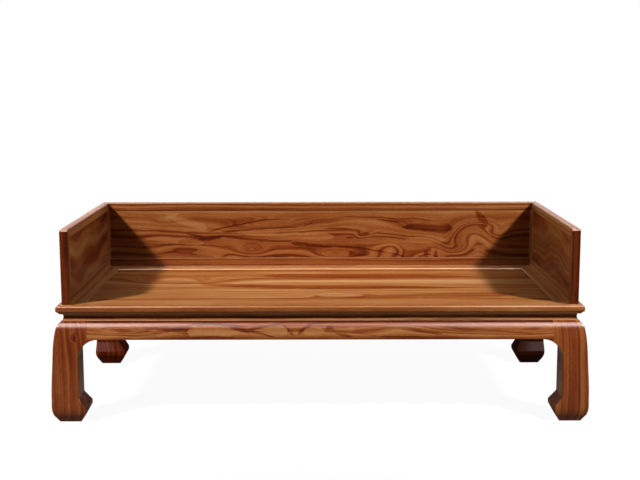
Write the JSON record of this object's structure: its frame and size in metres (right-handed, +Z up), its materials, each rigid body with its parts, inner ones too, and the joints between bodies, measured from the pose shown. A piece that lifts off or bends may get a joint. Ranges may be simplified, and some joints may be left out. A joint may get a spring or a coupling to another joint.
{
  "type": "luohan daybed",
  "caption": "Low waisted hardwood daybed with inward hoof feet, a wide board seat and plain framed screens at the back and ends.",
  "frame": {"origin": "on the floor under the middle of the seat's plan", "axes": "+X along the length, to the right as seen from the front, +Y from the front edge to the back screen, +Z up"},
  "size_m": [2.0446, 0.9946, 0.738],
  "materials": {
    "rail_wood": "satin, oiled and waxed",
    "waist_wood": "satin, oiled and waxed",
    "apron_wood": "satin, oiled and waxed, flame figure",
    "leg_wood": "satin, oiled and waxed, straight grain",
    "board_wood": "satin, oiled and waxed, long streaked figure",
    "panel_wood": "satin, oiled and waxed, swirling figure",
    "screen_frame_wood": "satin, oiled and waxed",
    "inner_wood": "plain, oiled"
  },
  "bodies": {
    "base": {"front_rail": "rail_wood", "rear_rail": "rail_wood", "left_end_rail": "rail_wood", "right_end_rail": "rail_wood", "front_waist": "waist_wood", "rear_waist": "waist_wood", "left_waist": "waist_wood", "right_waist": "waist_wood", "front_apron": "apron_wood", "rear_apron": "apron_wood", "left_apron": "apron_wood", "right_apron": "apron_wood", "apron_keys": "inner_wood", "seat_batten_1": "inner_wood", "seat_batten_2": "inner_wood", "seat_batten_3": "inner_wood", "seat_batten_4": "inner_wood", "seat_board_1": "board_wood", "seat_board_2": "board_wood", "seat_board_3": "board_wood", "seat_board_4": "board_wood", "seat_board_5": "board_wood", "front_left_leg": "leg_wood", "front_right_leg": "leg_wood", "rear_left_leg": "leg_wood", "rear_right_leg": "leg_wood"},
    "back_screen": {"back_screen_top_rail": "screen_frame_wood", "back_screen_bottom_rail": "screen_frame_wood", "back_screen_left_stile": "screen_frame_wood", "back_screen_right_stile": "screen_frame_wood", "back_screen_panel": "panel_wood", "back_screen_battens": "inner_wood", "back_screen_stubs": "inner_wood"},
    "left_screen": {"left_screen_top_rail": "screen_frame_wood", "left_screen_bottom_rail": "screen_frame_wood", "left_screen_front_stile": "screen_frame_wood", "left_screen_rear_stile": "screen_frame_wood", "left_screen_panel": "panel_wood", "left_screen_stubs": "inner_wood", "left_screen_slide_keys": "inner_wood"},
    "right_screen": {"right_screen_top_rail": "screen_frame_wood", "right_screen_bottom_rail": "screen_frame_wood", "right_screen_front_stile": "screen_frame_wood", "right_screen_rear_stile": "screen_frame_wood", "right_screen_panel": "panel_wood", "right_screen_stubs": "inner_wood", "right_screen_slide_keys": "inner_wood"}
  },
  "joints": [
    {"name": "back_screen_lift", "type": "slide", "parent": "base", "child": "back_screen", "axis": [0, 0, 1], "range_m": [0, 0.1]},
    {"name": "left_screen_lift", "type": "slide", "parent": "back_screen", "child": "left_screen", "axis": [0, 0, 1], "range_m": [0, 0.035]},
    {"name": "right_screen_lift", "type": "slide", "parent": "back_screen", "child": "right_screen", "axis": [0, 0, 1], "range_m": [0, 0.035]}
  ]
}
